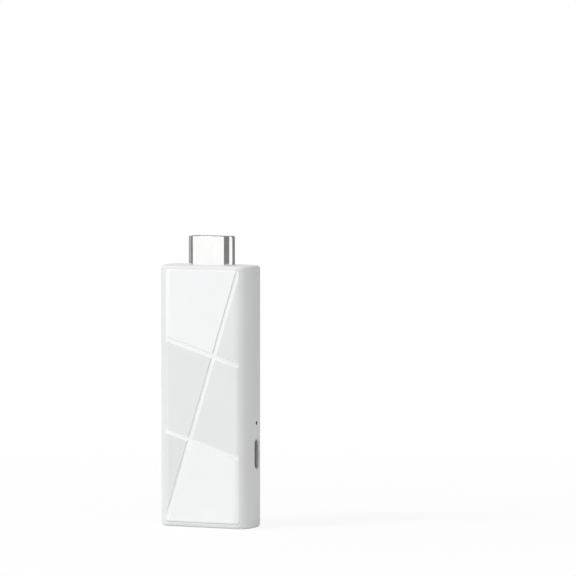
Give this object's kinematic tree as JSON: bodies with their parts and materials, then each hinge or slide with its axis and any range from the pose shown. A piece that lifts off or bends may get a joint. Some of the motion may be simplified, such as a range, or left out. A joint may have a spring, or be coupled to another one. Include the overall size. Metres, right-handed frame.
{
  "type": "wireless display dongle",
  "caption": "Slim white stick with a video plug on one end, a grooved front cover, a power socket and a pinhole reset switch on one side; shows pictures sent by radio on a screen.",
  "frame": {"origin": "middle of the lower end face of the casing, where the stick stands", "axes": "+Z along the stick towards the video plug, +X towards the side with the power socket, -Y out of the grooved front cover"},
  "size_m": [0.0288, 0.0122, 0.0844],
  "materials": {
    "casing_white": "fine satin, moulded",
    "cover_white": "smooth satin with a soft gloss",
    "plug_metal": "nickel plated, polished",
    "socket_metal": "formed stainless sheet",
    "tinned_sheet": "tinned sheet, matt",
    "spring_steel": "bright spring strip",
    "contact_gold": "gold flash on copper alloy",
    "black_insulator": "glass-filled moulding",
    "dark_plunger": "moulded",
    "board_green": "solder mask over glass epoxy",
    "module_blue": "solder mask over glass epoxy",
    "chip_black": "moulded epoxy package",
    "thermal_pad": "soft filled silicone",
    "spreader_aluminium": "rolled plate",
    "antenna_film": "coated copper film",
    "cable_jacket": "thin coax jacket",
    "capacitor_tan": "fired ceramic",
    "resistor_black": "glazed film on ceramic",
    "inductor_grey": "pressed ferrite",
    "screw_steel": "zinc plated"
  },
  "bodies": {
    "casing": {"rear_shell": "casing_white", "front_cover": "cover_white", "video_plug_shell": "plug_metal", "video_plug_insulator": "black_insulator", "video_plug_contacts_back": "contact_gold", "video_plug_contacts_front": "contact_gold", "power_socket_shell": "socket_metal", "power_socket_insulator": "black_insulator", "power_socket_contacts_back": "contact_gold", "power_socket_contacts_front": "contact_gold", "power_socket_midplate": "spring_steel", "reset_switch_base": "black_insulator", "reset_switch_dome": "spring_steel", "reset_switch_cover": "spring_steel", "reset_switch_terminals": "tinned_sheet", "main_board": "board_green", "board_screws": "screw_steel", "processor_chip": "chip_black", "memory_chips": "chip_black", "storage_chip": "chip_black", "shield_frame": "tinned_sheet", "shield_lid": "tinned_sheet", "processor_thermal_pad": "thermal_pad", "memory_thermal_pads": "thermal_pad", "spreader_thermal_pad": "thermal_pad", "heat_spreader": "spreader_aluminium", "wireless_module_board": "module_blue", "wireless_module_shield": "tinned_sheet", "antenna_socket": "contact_gold", "antenna_plug": "contact_gold", "antenna_cable": "cable_jacket", "antenna_flex": "antenna_film", "power_inductors": "inductor_grey", "power_manager_chip": "chip_black", "voltage_regulators": "chip_black", "large_crystal": "tinned_sheet", "small_crystal": "tinned_sheet", "surge_protectors": "chip_black", "front_capacitors": "capacitor_tan", "back_capacitors": "capacitor_tan", "front_resistors": "resistor_black", "back_resistors": "resistor_black"},
    "reset_plunger": {"reset_switch_plunger": "dark_plunger"}
  },
  "joints": [
    {"name": "reset_press", "type": "slide", "parent": "casing", "child": "reset_plunger", "axis": [-1, 0, 0], "range_m": [0, 0.00025], "stiffness_N_per_m": 400, "deforming": ["reset_switch_dome"]}
  ]
}
